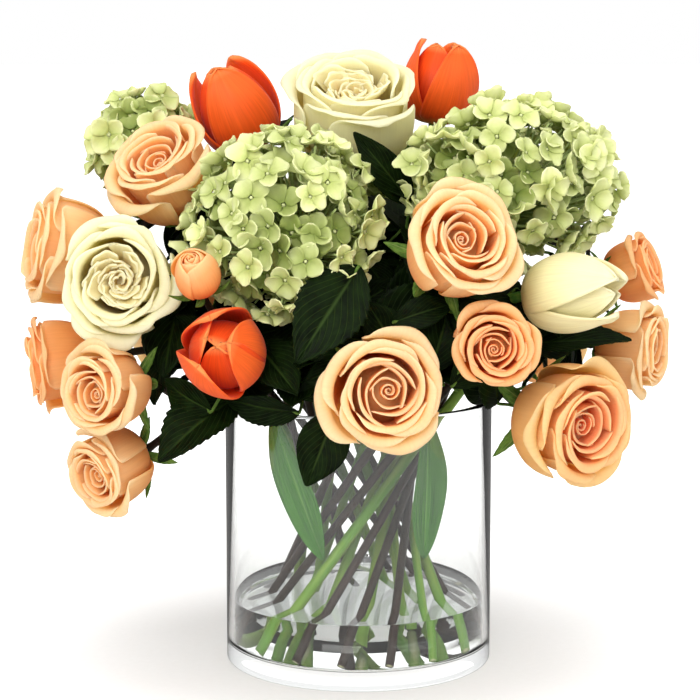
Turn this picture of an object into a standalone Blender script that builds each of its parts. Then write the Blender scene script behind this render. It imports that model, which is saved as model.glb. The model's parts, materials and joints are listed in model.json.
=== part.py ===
"""Mixed flowers in a glass cylinder vase: roses, garden roses, tulips and hydrangeas, each on its own stem.

Metres, +Z up, front = -Y. The origin is the centre of the vase's flat underside.
Every stem is gathered in a hand-tied spiral: it runs from a foot near the glass, past a narrow waist, to the rim,
and then bends out to the back of its own flower head. Nothing moves.
"""

import math

import bmesh
import bpy
from mathutils import Matrix, Vector, noise

# ---------------------------------------------------------------- driving dimensions, metres and degrees
VASE_D = 0.152          # outer diameter of the glass cylinder
VASE_H = 0.152          # height of its rim
WALL = 0.0035           # thickness of its wall
BASE = 0.010            # thickness of its base
FOOT_ROUND = 0.004      # rounding of the outer bottom edge
WATER_Z = 0.036         # height of the water surface
GAP = 0.0003            # clearance between neighbours that touch

ROSE_D = 0.064          # diameter of a full rose head
GARDEN_D = 0.080        # diameter of a quartered garden rose
TULIP_L = 0.056         # length of a tulip head
HYDRANGEA_D = 0.108     # diameter of a full hydrangea head
LEAF_L = 0.066          # length of a full leaf of the dome
BLADE_W = 0.026         # width of a tulip leaf in the vase
LEAF_THICK = 0.0012     # thickness of a leaf
LEAF_FOLD = 0.20        # how far a leaf's edges lift from its midrib, as a share of its half width

ROSE_STEM = 0.0048      # diameter of a rose stem
TULIP_STEM = 0.0062     # diameter of a tulip stem
HYDRANGEA_STEM = 0.0056  # diameter of a hydrangea stem
OUTER_TWIST = 124       # how far an outer stem turns between its foot and the rim
INNER_TWIST = 114       # the same for an inner stem

INNER_R = VASE_D / 2 - WALL
# The dome of heads opens in step with its largest kind, and with the vase, so that cells never crowd.
SPREAD = max(
    1.0, ROSE_D / 0.064, GARDEN_D / 0.080, TULIP_L / 0.056, HYDRANGEA_D / 0.108, LEAF_L / 0.066, VASE_D / 0.152
)

STRAIGHT = 0.005        # straight run of a stem just behind its head
PETAL_SWELL = 0.05      # how far a petal stands out of a round head, as a share of its radius
FLORET_BUMP = 0.13      # how strongly florets stand out of a hydrangea head, as a share of its radius

# ---------------------------------------------------------------- the bouquet
# Each head: name, kind, place of its centre from the middle of the rim in mm, the way it faces, size factor.
OUTER_HEADS = [
    ("rose_left_side", "rose", (-163, -2, 83), (-0.93, -0.30, 0.20), 1.00),
    ("rose_left_low", "rose", (-169, 6, 18), (-0.97, -0.20, -0.12), 0.84),
    ("spray_rose_left_low", "rose", (-134, -55, -30), (-0.66, -0.70, -0.26), 0.79),
    ("garden_rose_left", "garden", (-127, -62, 74), (-0.10, -0.98, 0.12), 0.88),
    ("rose_bud", "bud", (-84, -105, 80), (-0.16, -0.70, 0.70), 0.50),
    ("tulip_front", "tulip", (-69, -106, 41), (-0.05, -0.88, 0.30), 0.95),
    ("rose_front", "rose", (12, -113, 22), (0.10, -0.98, 0.08), 1.00),
    ("rose_upper_middle", "rose", (50, -107, 95), (0.34, -0.84, 0.40), 0.98),
    ("rose_small_right", "rose", (69, -109, 44), (0.14, -0.97, 0.10), 0.70),
    ("tulip_white", "tulip", (112, -86, 69), (0.88, -0.42, 0.12), 1.00),
    ("rose_right_low", "rose", (112, -74, -1), (0.58, -0.80, -0.04), 1.06),
    ("rose_right_side", "rose", (152, -22, 31), (0.90, -0.42, -0.02), 0.78),
    ("rose_back_right", "rose", (106, 74, 26), (0.68, 0.70, 0.12), 0.98),
    ("garden_rose_back", "garden", (30, 112, 30), (0.22, 0.95, 0.16), 0.90),
    ("tulip_back", "tulip", (-40, 108, 52), (-0.30, 0.72, 0.60), 0.95),
    ("rose_back_left", "rose", (-103, 82, 30), (-0.70, 0.68, 0.16), 0.98),
]
INNER_HEADS = [
    ("rose_left_top", "rose", (-105, -22, 127), (-0.36, -0.60, 0.71), 0.94),
    ("hydrangea_left", "hydrangea", (-40, -66, 104), (-0.30, -0.72, 0.60), 1.00),
    ("garden_rose_top", "garden", (-3, -10, 163), (0.02, -0.52, 0.85), 1.00),
    ("hydrangea_right", "hydrangea_wide", (85, -30, 122), (0.42, -0.50, 0.76), 1.00),
    ("tulip_top_right", "tulip", (47, 44, 176), (0.12, -0.08, 0.99), 0.90),
    ("hydrangea_back", "hydrangea", (12, 84, 106), (0.10, 0.80, 0.60), 0.90),
    ("tulip_top_left", "tulip", (-70, 26, 162), (-0.42, -0.16, 0.88), 1.00),
    ("hydrangea_back_left", "hydrangea", (-126, 44, 142), (-0.66, 0.36, 0.66), 0.62),
]
# A second head carried by a side branch of another head's stem.
BRANCHES = [
    ("spray_rose_left_high", "rose", (-133, -75, 16), (-0.60, -0.80, 0.04), 0.79, "spray_rose_left_low"),
    ("rose_right_high", "rose", (158, 22, 69), (0.88, -0.30, 0.36), 0.64, "rose_right_side"),
]

PEACH = (0.93, 0.58, 0.27, 1)
DEEP_PEACH = (0.91, 0.44, 0.18, 1)
CREAM = (0.88, 0.85, 0.68, 1)
SCARLET = (0.83, 0.14, 0.04, 1)
LIME = (0.62, 0.72, 0.36, 1)
ROSE_GREEN = (0.16, 0.11, 0.08, 1)
STEM_GREEN = (0.22, 0.38, 0.09, 1)
LEAF_GREEN = (0.03, 0.10, 0.03, 1)
COLOURS = {
    "rose_small_right": DEEP_PEACH,
    "rose_bud": DEEP_PEACH,
    "rose_right_high": DEEP_PEACH,
    "rose_left_low": DEEP_PEACH,
    "tulip_white": CREAM,
}


# ---------------------------------------------------------------- helpers
def clear_scene():
    for obj in list(bpy.data.objects):
        bpy.data.objects.remove(obj, do_unlink=True)


def collection(name, hidden=False):
    made = bpy.data.collections.new(name)
    bpy.context.scene.collection.children.link(made)
    made.hide_render = hidden
    return made


def material(name, colour, roughness=0.6, transmission=0.0):
    made = bpy.data.materials.get(name) or bpy.data.materials.new(name)
    made.use_nodes = True
    shader = made.node_tree.nodes["Principled BSDF"]
    shader.inputs["Base Color"].default_value = colour
    shader.inputs["Roughness"].default_value = roughness
    shader.inputs["Transmission Weight"].default_value = transmission
    made.diffuse_color = colour
    return made


def add(name, mesh, into, look=None):
    obj = bpy.data.objects.new(name, mesh)
    into.objects.link(obj)
    if look:
        mesh.materials.append(look)
    return obj


def smooth(mesh):
    mesh.shade_smooth()
    return mesh


def turned(name, profile, steps, into, look):
    """A solid of revolution about Z. The profile's (radius, height) points run down the outer side."""
    mesh = bpy.data.meshes.new(name)
    mesh.from_pydata([(r, 0, z) for r, z in profile], [(i, i + 1) for i in range(len(profile) - 1)], [])
    obj = add(name, mesh, into, look)
    screw = obj.modifiers.new("turn", "SCREW")
    screw.steps = steps
    screw.render_steps = steps
    screw.use_merge_vertices = True
    screw.merge_threshold = 1e-5
    screw.use_smooth_shade = True
    return obj


def frozen(obj):
    """The object as a plain mesh, with its modifiers applied and any loose caps welded on."""
    graph = bpy.context.evaluated_depsgraph_get()
    mesh = bpy.data.meshes.new_from_object(obj.evaluated_get(graph))
    bm = bmesh.new()
    bm.from_mesh(mesh)
    bmesh.ops.remove_doubles(bm, verts=bm.verts, dist=1e-6)
    bm.to_mesh(mesh)
    bm.free()
    name = obj.name
    made = bpy.data.objects.new("made", mesh)
    made.matrix_world = obj.matrix_world
    for into in obj.users_collection:
        into.objects.link(made)
    bpy.data.objects.remove(obj)
    made.name = name
    return made


def rod(name, points, diameter, into, look=None, sides=2):
    curve = bpy.data.curves.new(name, "CURVE")
    curve.dimensions = "3D"
    curve.bevel_depth = diameter / 2
    curve.bevel_resolution = sides
    curve.use_fill_caps = True
    line = curve.splines.new("POLY")
    line.points.add(len(points) - 1)
    for spot, at in zip(line.points, points):
        spot.co = (*at, 1)
    obj = bpy.data.objects.new(name, curve)
    into.objects.link(obj)
    if look:
        curve.materials.append(look)
    return obj


def boolean(obj, kind, other):
    cut = obj.modifiers.new(kind.lower(), "BOOLEAN")
    cut.operation = kind
    cut.solver = "EXACT"
    cut.object = other
    return obj


def aim(obj, centre, facing, roll=0.0):
    """Stands the object's own +Z along the way it faces."""
    turn = Vector(facing).to_track_quat("Z", "Y").to_matrix().to_4x4()
    obj.matrix_world = Matrix.Translation(centre) @ turn @ Matrix.Rotation(roll, 4, "Z")


def around(radius, bearing, z):
    return Vector((radius * math.cos(bearing), radius * math.sin(bearing), z))


# ---------------------------------------------------------------- vase and water
def build_vase(into):
    r = VASE_D / 2
    lip = 0.0012
    profile = [
        (INNER_R, VASE_H - lip),
        (INNER_R + lip * 0.6, VASE_H - lip * 0.25),
        (INNER_R + WALL * 0.5, VASE_H),
        (r - lip * 0.6, VASE_H - lip * 0.25),
        (r, VASE_H - lip),
        (r, FOOT_ROUND),
        (r - FOOT_ROUND * 0.3, FOOT_ROUND * 0.3),
        (r - FOOT_ROUND, 0),
        (0, 0),
    ]
    inside = [(0, BASE), (INNER_R - 0.004, BASE), (INNER_R - 0.0012, BASE + 0.0012), (INNER_R, BASE + 0.004)]
    return turned("vase", inside[::1] + profile, 48, into, material("glass", (0.95, 0.98, 0.97, 1), 0.02, 1))


def build_water(into, helpers, dipped):
    r = INNER_R - GAP
    low = BASE + GAP
    profile = [(0, WATER_Z), (r, WATER_Z), (r, low + 0.004), (r - 0.0012, low + 0.0012), (r - 0.004, low), (0, low)]
    water = turned("water", profile, 48, into, material("water", (0.93, 0.97, 0.96, 1), 0.0, 1))
    for name, points, diameter in dipped:
        cutter = frozen(rod(name + "_cutter", points, diameter + 2 * GAP, helpers))
        boolean(water, "DIFFERENCE", cutter)
    return water


# ---------------------------------------------------------------- heads
def rose_profile(d):
    """A cup of overlapping petals, closed: its rim turns in to a spiral heart."""
    return [
        (0, 0.29 * d), (0.07 * d, 0.34 * d), (0.15 * d, 0.28 * d), (0.26 * d, 0.36 * d), (0.40 * d, 0.29 * d),
        (0.50 * d, 0.15 * d), (0.48 * d, -0.02 * d), (0.37 * d, -0.20 * d), (0.17 * d, -0.34 * d),
        (0.09 * d, -0.40 * d), (0, -0.40 * d),
    ]


def garden_profile(d):
    """A wide, flat, quartered bloom with thick outer petals."""
    return [
        (0, 0.20 * d), (0.10 * d, 0.23 * d), (0.24 * d, 0.21 * d), (0.33 * d, 0.27 * d), (0.43 * d, 0.20 * d),
        (0.49 * d, 0.06 * d), (0.44 * d, -0.12 * d), (0.28 * d, -0.28 * d), (0.08 * d, -0.36 * d), (0, -0.36 * d),
    ]


def bud_profile(d):
    return [
        (0, 0.52 * d), (0.14 * d, 0.50 * d), (0.30 * d, 0.34 * d), (0.38 * d, 0.08 * d), (0.34 * d, -0.18 * d),
        (0.18 * d, -0.38 * d), (0.10 * d, -0.42 * d), (0, -0.42 * d),
    ]


def tulip_profile(d):
    """An egg of six petals, open at the tip."""
    return [
        (0, 0.30 * d), (0.16 * d, 0.40 * d), (0.24 * d, 0.48 * d), (0.33 * d, 0.40 * d), (0.41 * d, 0.20 * d),
        (0.43 * d, -0.04 * d), (0.37 * d, -0.26 * d), (0.20 * d, -0.42 * d), (0.08 * d, -0.46 * d), (0, -0.46 * d),
    ]


# Each turned kind: profile, size it is drawn to, steps round, petals showing round its rim, colour.
ROUND_HEADS = {
    "rose": (rose_profile, ROSE_D, 15, 5, PEACH),
    "garden": (garden_profile, GARDEN_D, 15, 5, CREAM),
    "bud": (bud_profile, ROSE_D, 9, 3, PEACH),
    "tulip": (tulip_profile, TULIP_L, 12, 3, SCARLET),
}


def build_round_head(name, kind, size, into):
    profile, basis, steps, petals, colour = ROUND_HEADS[kind]
    look = material(name + "_petal", COLOURS.get(name, colour))
    head = frozen(turned(name, profile(basis * size), steps, into, look))
    # The petals shape all but the flat underside, which the stem meets.
    for vert in head.data.vertices:
        if vert.co.z < GAP - BACK[kind](size):
            continue
        bearing = math.atan2(vert.co.y, vert.co.x)
        reach = min(1, math.hypot(vert.co.x, vert.co.y) / (0.4 * basis * size))
        swell = PETAL_SWELL * reach * math.cos(petals * bearing)
        vert.co.x *= 1 + swell
        vert.co.y *= 1 + swell
        vert.co.z += swell * 0.3 * basis * size
    return head


def floret_ways(count):
    """Even directions over a ball, one for each floret."""
    ways = []
    for n in range(count):
        z = 1 - (2 * n + 1) / count
        turn = n * math.radians(137.5)
        ways.append(Vector((math.cos(turn), math.sin(turn), 0)) * math.sqrt(1 - z * z) + Vector((0, 0, z)))
    return ways


def build_hydrangea(name, size, wide, into):
    """A mophead: a ball of small florets, each a low dome on its surface."""
    radius = HYDRANGEA_D / 2 * size * 0.93
    florets = floret_ways(round(70 * size * size * (1.3 if wide else 1)))
    across = 2 / math.sqrt(len(florets))
    bm = bmesh.new()
    bmesh.ops.create_icosphere(bm, subdivisions=4 if size > 0.8 else 3, radius=radius)
    for vert in bm.verts:
        way = vert.co.normalized()
        off = min((way - floret).length for floret in florets) / across
        vert.co = way * radius * (1 + FLORET_BUMP * (0.35 - off) + 0.04 * noise.noise(way * 3))
        vert.co.z *= 0.84
        if wide:
            vert.co.x *= 1.30
            vert.co.y *= 0.86
    mesh = bpy.data.meshes.new(name)
    bm.to_mesh(mesh)
    bm.free()
    return add(name, mesh, into, material(name + "_floret", COLOURS.get(name, LIME)))


# How far behind its centre each kind of head ends, and its stem's diameter and colour.
BACK = {
    "rose": lambda size: 0.40 * ROSE_D * size,
    "garden": lambda size: 0.36 * GARDEN_D * size,
    "bud": lambda size: 0.42 * ROSE_D * size,
    "tulip": lambda size: 0.46 * TULIP_L * size,
    "hydrangea": lambda size: 0.84 * HYDRANGEA_D / 2 * size,
    "hydrangea_wide": lambda size: 0.84 * HYDRANGEA_D / 2 * size,
}
STEMS = {
    "rose": (ROSE_STEM, ROSE_GREEN),
    "garden": (ROSE_STEM, STEM_GREEN),
    "bud": (ROSE_STEM * 0.8, ROSE_GREEN),
    "tulip": (TULIP_STEM, STEM_GREEN),
    "hydrangea": (HYDRANGEA_STEM, STEM_GREEN),
    "hydrangea_wide": (HYDRANGEA_STEM, STEM_GREEN),
}


def build_head(name, kind, place, facing, size, into):
    centre = Vector(place) * 0.001 * SPREAD + Vector((0, 0, VASE_H))
    way = Vector(facing).normalized()
    if kind.startswith("hydrangea"):
        head = build_hydrangea(name, size, kind.endswith("wide"), into)
    else:
        head = build_round_head(name, kind, size, into)
    aim(head, centre, way)
    return centre - way * (BACK[kind](size) + GAP), way


# ---------------------------------------------------------------- stems
def bezier(a, b, c, d, t):
    return a * (1 - t) ** 3 + b * 3 * t * (1 - t) ** 2 + c * 3 * t * t * (1 - t) + d * t ** 3


def stem_points(foot, rim, neck, way, reach):
    """A straight run from the foot to the rim, then a bend that meets the head along its own axis."""
    lean = (rim - foot).normalized()
    end = neck - way * STRAIGHT
    bend = [bezier(rim, rim + lean * reach * 0.30, end - way * reach * 0.30, end, t / 5) for t in range(1, 6)]
    return [foot, foot.lerp(rim, 0.5), rim] + bend + [neck]


def ring_slots(heads):
    """The rim bearing of each head's stem: even steps, in the heads' own order round the vase."""
    bearings = [math.atan2(place[1], place[0]) for _, _, place, _, _ in heads]
    step = 2 * math.pi / len(heads)
    order = sorted(range(len(heads)), key=lambda i: bearings[i])
    shift = sum(bearings[i] - step * n for n, i in enumerate(order)) / len(heads)
    return {heads[i][0]: shift + step * n for n, i in enumerate(order)}


def build_ring(heads, foot_r, rim_r, twist, into, helpers, ends):
    """Stems of one ring, each from a foot on a circle near the glass to the back of its head."""
    slots = ring_slots(heads)
    dipped = []
    for name, kind, place, facing, size in heads:
        neck, way = ends[name]
        diameter, colour = STEMS[kind]
        rim = around(rim_r, slots[name], VASE_H + 0.006)
        foot = around(foot_r, slots[name] - math.radians(twist), BASE)
        lean = (rim - foot).normalized()
        foot.z += GAP * 2 + diameter / 2 * math.hypot(lean.x, lean.y)
        points = stem_points(foot, rim, neck, way, (neck - rim).length)
        # The stem's cut end stops one clearance short of its hole's end, so that the two share no face.
        cut = foot + lean * GAP
        stem = rod(name + "_stem", [cut] + points[1:], diameter, into, material(name + "_stem_green", colour))
        for extra in [row for row in BRANCHES if row[5] == name]:
            tip, tip_way = ends[extra[0]]
            start = points[5]
            side = [start, start.lerp(tip, 0.35) + Vector((0, 0, 0.004)), tip - tip_way * 0.012, tip]
            branch = frozen(rod(extra[0] + "_branch", side, diameter * 0.8, helpers))
            stem = boolean(frozen(stem), "UNION", branch)
        dipped.append((name, points[:2], diameter))
    return dipped


# ---------------------------------------------------------------- leaves
def build_leaf(name, root, tip, up, width, bow, into, helpers, petiole=None, toothed=False, rows=8):
    """A pointed blade from its root to its tip, folded along the midrib and bowed towards its face."""
    along = tip - root
    length = along.length
    bm = bmesh.new()
    bmesh.ops.create_grid(bm, x_segments=4, y_segments=rows, size=0.5)
    for vert in bm.verts:
        across = vert.co.x * 2
        t = vert.co.y + 0.5
        half = width / 2 * (0.06 + 0.94 * math.sin(math.pi * t ** 0.85))
        if toothed and abs(across) > 0.9 and 0.1 < t < 0.95:
            half *= 1 + 0.08 * (round(t * rows) % 2)
        fold = abs(across) * half * LEAF_FOLD
        vert.co = Vector((across * half, t * length, fold + bow * math.sin(math.pi * t)))
    mesh = bpy.data.meshes.new(name)
    bm.to_mesh(mesh)
    bm.free()
    leaf = add(name, smooth(mesh), into, material(name + "_green", LEAF_GREEN))
    thick = leaf.modifiers.new("thickness", "SOLIDIFY")
    thick.thickness = LEAF_THICK
    thick.offset = 0
    y = along.normalized()
    x = y.cross(up).normalized()
    leaf.matrix_world = Matrix.Translation(root) @ Matrix((x, y, x.cross(y))).transposed().to_4x4()
    if petiole:
        end = root + y * length * 0.12 + x.cross(y) * bow * 0.3
        stalk = frozen(rod(name + "_petiole", [petiole, root, end], LEAF_THICK * 1.6, helpers, sides=1))
        boolean(leaf, "UNION", stalk)
    return leaf


def from_rim(x, y, z):
    """A place in mm from the middle of the rim, moved out with the dome of heads."""
    return Vector((x, y, z)) * 0.001 * SPREAD + Vector((0, 0, VASE_H))


def build_leaves(into, helpers):
    # Name, root, way it points, face, length as a share of a full leaf, width and bow as shares of its length,
    # petiole's far end, toothed.
    dome = [
        ("leaf_front_large", (0, -98, 84), (-32, -23, -47), (0, -1, 0.3), 0.93, 0.59, 0.05, (2, -78, 66), True),
        ("leaf_top", (29, -42, 112), (-32, -16, 40), (0, -1, 0.3), 0.81, 0.37, 0.04, (26, -32, 96), False),
        ("leaf_right", (84, -52, 36), (64, -6, 4), (0, -0.4, 1), 0.97, 0.45, 0.02, (64, -46, 32), True),
        ("leaf_left_low", (-66, -64, 10), (-40, -30, -30), (-0.2, -0.6, 0.8), 0.88, 0.62, 0.05, (-52, -50, 12), True),
        ("leaf_rim_front", (-12, -84, 6), (-16, -6, -40), (0, -1, 0), 0.66, 0.64, 0.05, (-8, -66, 16), False),
        ("leaf_back", (-36, 76, 8), (-22, 48, -16), (-0.4, 0.6, 0.7), 0.84, 0.66, 0.05, (-26, 60, 12), True),
    ]
    for name, root, way, face, length, width, bow, petiole, toothed in dome:
        length *= LEAF_L
        build_leaf(
            name, from_rim(*root), from_rim(*root) + Vector(way).normalized() * length, Vector(face), length * width,
            length * bow, into, helpers, from_rim(*petiole), toothed,
        )
    # Tulip blades stand in the vase, between the glass and the stems.
    r = INNER_R
    for name, top, bottom in [
        ("tulip_leaf_left", (-0.66, -0.60), (-0.27, -0.50)),
        ("tulip_leaf_right", (0.52, -0.66), (0.50, -0.46)),
    ]:
        root = Vector((bottom[0] * r, bottom[1] * r, VASE_H * 0.42))
        tip = Vector((top[0] * r, top[1] * r, VASE_H * 0.985))
        out = Vector((root.x + tip.x, root.y + tip.y, 0))
        build_leaf(name, root, tip, out, BLADE_W, 0.001, into, helpers)


# ---------------------------------------------------------------- assembly
clear_scene()
PARTS = collection("mixed_flowers_in_a_vase")
CUTTERS = collection("cutters", hidden=True)

build_vase(PARTS)
ends = {}
for row in OUTER_HEADS + INNER_HEADS + BRANCHES:
    ends[row[0]] = build_head(*row[:5], PARTS)
outer = build_ring(OUTER_HEADS, INNER_R - 0.007, INNER_R - 0.012, OUTER_TWIST, PARTS, CUTTERS, ends)
inner = build_ring(INNER_HEADS, INNER_R * 0.50, INNER_R * 0.46, INNER_TWIST, PARTS, CUTTERS, ends)
build_water(PARTS, CUTTERS, outer + inner)
build_leaves(PARTS, CUTTERS)
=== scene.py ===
"""Mixed flowers in a glass cylinder vase: the looks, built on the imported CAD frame.

Every head, leaf and stem is modelled petal by petal in its CAD solid's place. Metres, +Z up, front = -Y.
"""

import json
import math

import bpy
import numpy as np
from mathutils import Matrix, Vector

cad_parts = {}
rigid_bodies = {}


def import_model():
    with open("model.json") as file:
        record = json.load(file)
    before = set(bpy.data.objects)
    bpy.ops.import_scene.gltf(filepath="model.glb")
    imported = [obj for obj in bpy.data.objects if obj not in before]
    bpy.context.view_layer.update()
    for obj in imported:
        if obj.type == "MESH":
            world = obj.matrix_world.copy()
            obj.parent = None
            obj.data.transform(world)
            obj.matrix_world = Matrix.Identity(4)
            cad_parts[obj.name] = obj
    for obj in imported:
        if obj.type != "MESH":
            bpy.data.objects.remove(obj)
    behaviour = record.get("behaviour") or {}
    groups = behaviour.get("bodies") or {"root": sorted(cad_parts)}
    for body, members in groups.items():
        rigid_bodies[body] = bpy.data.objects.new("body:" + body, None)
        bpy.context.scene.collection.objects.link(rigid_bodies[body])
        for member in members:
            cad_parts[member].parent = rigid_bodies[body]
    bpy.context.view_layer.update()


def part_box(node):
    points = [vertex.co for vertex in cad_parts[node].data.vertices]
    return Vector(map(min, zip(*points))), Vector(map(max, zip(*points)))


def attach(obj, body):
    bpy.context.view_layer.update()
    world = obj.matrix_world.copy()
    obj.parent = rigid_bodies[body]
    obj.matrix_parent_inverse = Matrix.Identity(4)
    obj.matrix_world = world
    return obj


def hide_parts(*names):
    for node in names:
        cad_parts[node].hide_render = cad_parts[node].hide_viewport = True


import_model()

# ---------------------------------------------------------------- sizes, metres
# The CAD's clearance, straight neck, stem and leaf sizes, and twists in degrees, which its boxes don't tell.
GAP, STRAIGHT = 0.0003, 0.005
ROSE_STEM, TULIP_STEM, HYDRANGEA_STEM = 0.0048, 0.0062, 0.0056
OUTER_TWIST, INNER_TWIST = 124, 114
LEAF_L, BLADE_W = 0.066, 0.026
_, (VASE_R, _, VASE_H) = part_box("vase")
(_, _, WATER_LOW), (WATER_R, _, WATER_Z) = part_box("water")
INNER_R = WATER_R + GAP
BASE = WATER_LOW - GAP
GOLDEN = math.radians(137.5)

# Each head: its kind and the way it faces. Where it is and how big it is come from its CAD solid.
OUTER_HEADS = {
    "rose_left_side": ("rose", (-0.93, -0.30, 0.20)),
    "rose_left_low": ("rose", (-0.97, -0.20, -0.12)),
    "spray_rose_left_low": ("rose", (-0.66, -0.70, -0.26)),
    "garden_rose_left": ("garden", (-0.10, -0.98, 0.12)),
    "rose_bud": ("bud", (-0.16, -0.70, 0.70)),
    "tulip_front": ("tulip", (-0.05, -0.88, 0.30)),
    "rose_front": ("rose", (0.10, -0.98, 0.08)),
    "rose_upper_middle": ("rose", (0.34, -0.84, 0.40)),
    "rose_small_right": ("rose", (0.14, -0.97, 0.10)),
    "tulip_white": ("tulip", (0.88, -0.42, 0.12)),
    "rose_right_low": ("rose", (0.58, -0.80, -0.04)),
    "rose_right_side": ("rose", (0.90, -0.42, -0.02)),
    "rose_back_right": ("rose", (0.68, 0.70, 0.12)),
    "garden_rose_back": ("garden", (0.22, 0.95, 0.16)),
    "tulip_back": ("tulip", (-0.30, 0.72, 0.60)),
    "rose_back_left": ("rose", (-0.70, 0.68, 0.16)),
}
INNER_HEADS = {
    "rose_left_top": ("rose", (-0.36, -0.60, 0.71)),
    "hydrangea_left": ("hydrangea", (-0.30, -0.72, 0.60)),
    "garden_rose_top": ("garden", (0.02, -0.52, 0.85)),
    "hydrangea_right": ("hydrangea_wide", (0.42, -0.50, 0.76)),
    "tulip_top_right": ("tulip", (0.12, -0.08, 0.99)),
    "hydrangea_back": ("hydrangea", (0.10, 0.80, 0.60)),
    "tulip_top_left": ("tulip", (-0.42, -0.16, 0.88)),
    "hydrangea_back_left": ("hydrangea", (-0.66, 0.36, 0.66)),
}
BRANCHES = {
    "spray_rose_left_high": ("rose", (-0.60, -0.80, 0.04), "spray_rose_left_low"),
    "rose_right_high": ("rose", (0.88, -0.30, 0.36), "rose_right_side"),
}
DEEP = {"rose_small_right", "rose_bud", "rose_right_high", "rose_left_low"}
# These tulips' opening, bluntness, unevenness, girth, turn and petal leans, as tulip() takes them.
TULIP_FORMS = {
    "tulip_front": (0.40, 0.56, 0.30, 1.0, math.radians(-68), (-0.16, -0.20, -0.02, -0.24, -0.08, 0.03)),
    "tulip_white": (0.20, 0.90, 0.40, 0.86),
}
# How wide each kind's solid is, and how far behind its middle its neck is, as shares of its size.
WIDTH = {"rose": 1.0, "garden": 0.98, "bud": 0.75, "tulip": 0.86, "hydrangea": 0.941, "hydrangea_wide": 1.208}
BACK = {"rose": 0.40, "garden": 0.36, "bud": 0.42, "tulip": 0.46, "hydrangea": 0.42, "hydrangea_wide": 0.42}
STEM_D = {"rose": ROSE_STEM, "garden": ROSE_STEM, "bud": ROSE_STEM * 0.8, "tulip": TULIP_STEM,
          "hydrangea": HYDRANGEA_STEM, "hydrangea_wide": HYDRANGEA_STEM}


class Head:
    """A flower head's kind, facing, middle, size and neck, measured on its CAD solid."""

    def __init__(self, name, kind, facing, parent=None):
        self.name, self.kind, self.parent = name, kind, parent
        self.way = Vector(facing).normalized()
        turn = self.way.to_track_quat("Z", "Y").to_matrix()
        solid = np.array([vertex.co for vertex in bpy.data.objects[name].data.vertices]) @ np.array(turn)
        low, high = solid.min(axis=0), solid.max(axis=0)
        middle = (low + high) / 2
        self.size = (high - low)[0] / WIDTH[kind]
        if not kind.startswith("hydrangea"):
            ring = solid[solid[:, 2] < low[2] + 0.0004]
            middle = np.array([*ring.mean(axis=0)[:2], low[2] + BACK[kind] * self.size])
        self.centre = turn @ Vector(middle)
        self.neck = self.centre - self.way * (BACK[kind] * self.size + GAP)
        self.matrix = Matrix.Translation(self.centre) @ turn.to_4x4()


OUTER = [Head(name, *row) for name, row in OUTER_HEADS.items()]
INNER = [Head(name, *row) for name, row in INNER_HEADS.items()]
SIDE = [Head(name, *row) for name, row in BRANCHES.items()]
HEADS = OUTER + INNER + SIDE


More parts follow.
